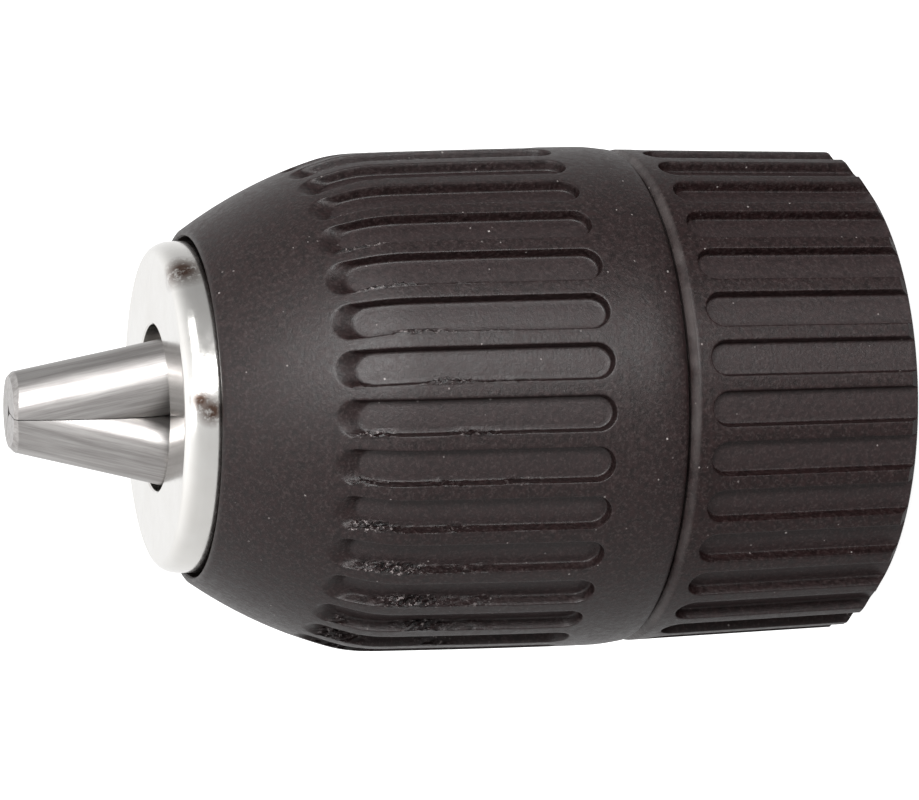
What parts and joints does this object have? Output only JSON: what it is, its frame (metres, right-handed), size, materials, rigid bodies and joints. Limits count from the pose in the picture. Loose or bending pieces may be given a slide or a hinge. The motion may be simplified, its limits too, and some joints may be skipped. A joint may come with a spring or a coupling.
{
  "type": "drill chuck",
  "caption": "Keyless drill chuck: grooved plastic front and rear sleeves on a steel body, with three self-centring jaws driven by a split nut on a ball thrust bearing.",
  "frame": {"origin": "centre of the steel body's flat rear face, which seats on a drill spindle's shoulder and on which the chuck stands", "axes": "+Z along the chuck's axis towards the jaws; -Y faces the viewer of the picture, whose up direction is +X"},
  "size_m": [0.043, 0.043, 0.0737],
  "materials": {
    "sleeve_nylon": "moulded glass-filled nylon, fine grain, semi-matt",
    "nose_steel": "polished, bright plated steel",
    "jaw_steel": "ground and hardened, satin",
    "race_steel": "hardened, lightly oiled",
    "cage_steel": "pressed sheet, lightly oiled",
    "nut_steel": "phosphated, lightly oiled",
    "ball_steel": "polished bearing steel"
  },
  "bodies": {
    "fixed_body": {"chuck_body": "nose_steel", "rear_sleeve": "sleeve_nylon", "race_ring": "race_steel"},
    "turning_sleeve": {"front_sleeve": "sleeve_nylon", "nut_ring": "nut_steel", "nut_half_a": "nut_steel", "nut_half_b": "nut_steel", "thrust_washer": "race_steel"},
    "ball_row": {"ball_cage": "cage_steel", "ball_01": "ball_steel", "ball_02": "ball_steel", "ball_03": "ball_steel", "ball_04": "ball_steel", "ball_05": "ball_steel", "ball_06": "ball_steel", "ball_07": "ball_steel", "ball_08": "ball_steel", "ball_09": "ball_steel", "ball_10": "ball_steel", "ball_11": "ball_steel", "ball_12": "ball_steel", "ball_13": "ball_steel", "ball_14": "ball_steel", "ball_15": "ball_steel", "ball_16": "ball_steel"},
    "jaw_one": {"jaw_1": "jaw_steel"},
    "jaw_two": {"jaw_2": "jaw_steel"},
    "jaw_three": {"jaw_3": "jaw_steel"}
  },
  "joints": [
    {"name": "sleeve_turn", "type": "hinge", "parent": "fixed_body", "child": "turning_sleeve", "pos_m": [0, 0, 0.036], "axis": [0, 0, 1], "range_deg": [0, 4650]},
    {"name": "ball_row_turn", "type": "hinge", "parent": "fixed_body", "child": "ball_row", "pos_m": [0, 0, 0.0317], "axis": [0, 0, 1], "range_deg": [0, 2325]},
    {"name": "jaw_1_slide", "type": "slide", "parent": "fixed_body", "child": "jaw_one", "axis": [0.1893, -0.1765, -0.9659], "range_m": [0, 0.0201]},
    {"name": "jaw_2_slide", "type": "slide", "parent": "fixed_body", "child": "jaw_two", "axis": [0.0582, 0.2522, -0.9659], "range_m": [0, 0.0201]},
    {"name": "jaw_3_slide", "type": "slide", "parent": "fixed_body", "child": "jaw_three", "axis": [-0.2475, -0.0757, -0.9659], "range_m": [0, 0.0201]}
  ],
  "couplings": [
    {"joint": "ball_row_turn", "follows": "sleeve_turn", "ratio": 0.5},
    {"joint": "jaw_1_slide", "follows": "sleeve_turn", "m_per_rad": 0.00024715},
    {"joint": "jaw_2_slide", "follows": "sleeve_turn", "m_per_rad": 0.00024715},
    {"joint": "jaw_3_slide", "follows": "sleeve_turn", "m_per_rad": 0.00024715}
  ]
}
